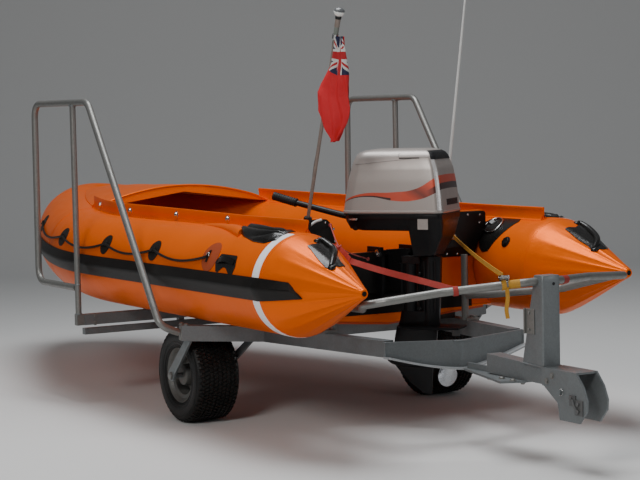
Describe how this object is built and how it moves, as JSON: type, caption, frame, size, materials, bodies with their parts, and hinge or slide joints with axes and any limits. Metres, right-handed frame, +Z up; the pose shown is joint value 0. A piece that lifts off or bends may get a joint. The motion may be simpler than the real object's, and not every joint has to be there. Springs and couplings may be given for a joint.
{
  "type": "inshore rescue boat on launching trolley",
  "caption": "Inflatable rescue boat with two side tubes, cone sterns and a steering outboard, standing on a two-wheeled steel launching trolley with side hoops and stern bar",
  "frame": {"origin": "on the floor below the middle of the overall length, between the wheels", "axes": "+X towards the bow, +Y to port, +Z up"},
  "size_m": [5.7189, 2.1722, 2.4949],
  "materials": {
    "fabric": "coated orange fabric, satin",
    "black": "black rubber, matt",
    "deck": "dark grip sheet, matt",
    "white": "white moulding, gloss",
    "steel": "galvanised steel, dull",
    "bunk": "black rubber bearer, matt",
    "cowl": "silver grey cowl paint, satin",
    "motor": "black motor paint, satin",
    "casting": "grey painted casting, satin",
    "blade": "bright metal, worn",
    "tyre": "tyre rubber, matt",
    "flag": "red bunting, matt",
    "webbing": "red webbing, matt"
  },
  "bodies": {
    "boat_on_trolley": {"sponson_port": "fabric", "cone_port": "fabric", "sponson_starboard": "fabric", "cone_starboard": "fabric", "bow_tube": "fabric", "strake_port": "black", "strake_starboard": "black", "strake_bow": "black", "coaming_port": "fabric", "coaming_starboard": "fabric", "bow_dodger": "fabric", "hull": "fabric", "deck": "deck", "transom": "fabric", "transom_pad": "black", "clamp_bracket": "motor", "ensign_staff": "steel", "staff_light": "white", "ensign": "flag", "aerial": "white", "side_frame_port": "steel", "side_frame_starboard": "steel", "axle_cross": "steel", "stern_cross": "steel", "tongue": "steel", "drawbar_head": "steel", "post": "steel", "stern_bar_port": "steel", "stanchion_port": "steel", "stern_bar_starboard": "steel", "stanchion_starboard": "steel", "keel_beam": "steel", "bow_chock": "bunk", "bunk_port": "bunk", "bunk_starboard": "bunk", "cross_forward": "steel", "hoop_port": "steel", "hoop_starboard": "steel", "wheel_fork_port": "steel", "wheel_fork_starboard": "steel", "lashing": "webbing"},
    "tilt_bracket": {"swivel_bracket": "motor"},
    "motor": {"top_cowl": "cowl", "powerhead": "casting", "lower_cowl": "motor", "drive_leg": "motor", "gearcase": "casting", "tiller_arm": "motor"},
    "propeller": {"propeller": "blade"},
    "wheel_port": {"rim_port": "steel", "tyre_port": "tyre"},
    "wheel_starboard": {"rim_starboard": "steel", "tyre_starboard": "tyre"},
    "nose_leg": {"nose_leg": "steel"}
  },
  "joints": [
    {"name": "motor_tilt", "type": "hinge", "parent": "boat_on_trolley", "child": "tilt_bracket", "pos_m": [-1.2454, 0, 0.895], "axis": [0, 1, 0], "range_deg": [0, 20]},
    {"name": "motor_steer", "type": "hinge", "parent": "tilt_bracket", "child": "motor", "pos_m": [-1.3804, 0, 0.7], "axis": [0, 0, 1], "range_deg": [-80, 4]},
    {"name": "propeller_spin", "type": "hinge", "parent": "motor", "child": "propeller", "pos_m": [-1.3804, 0, 0.36], "axis": [0.788, 0.6157, 0], "continuous": true},
    {"name": "wheel_port_spin", "type": "hinge", "parent": "boat_on_trolley", "child": "wheel_port", "pos_m": [-0.4704, 0.757, 0.252], "axis": [0, 1, 0], "continuous": true},
    {"name": "wheel_starboard_spin", "type": "hinge", "parent": "boat_on_trolley", "child": "wheel_starboard", "pos_m": [-0.4704, -0.757, 0.252], "axis": [0, 1, 0], "continuous": true},
    {"name": "nose_leg_fold", "type": "hinge", "parent": "boat_on_trolley", "child": "nose_leg", "pos_m": [1.2846, 0, 0.395], "axis": [0, 1, 0], "range_deg": [0, 90]}
  ]
}
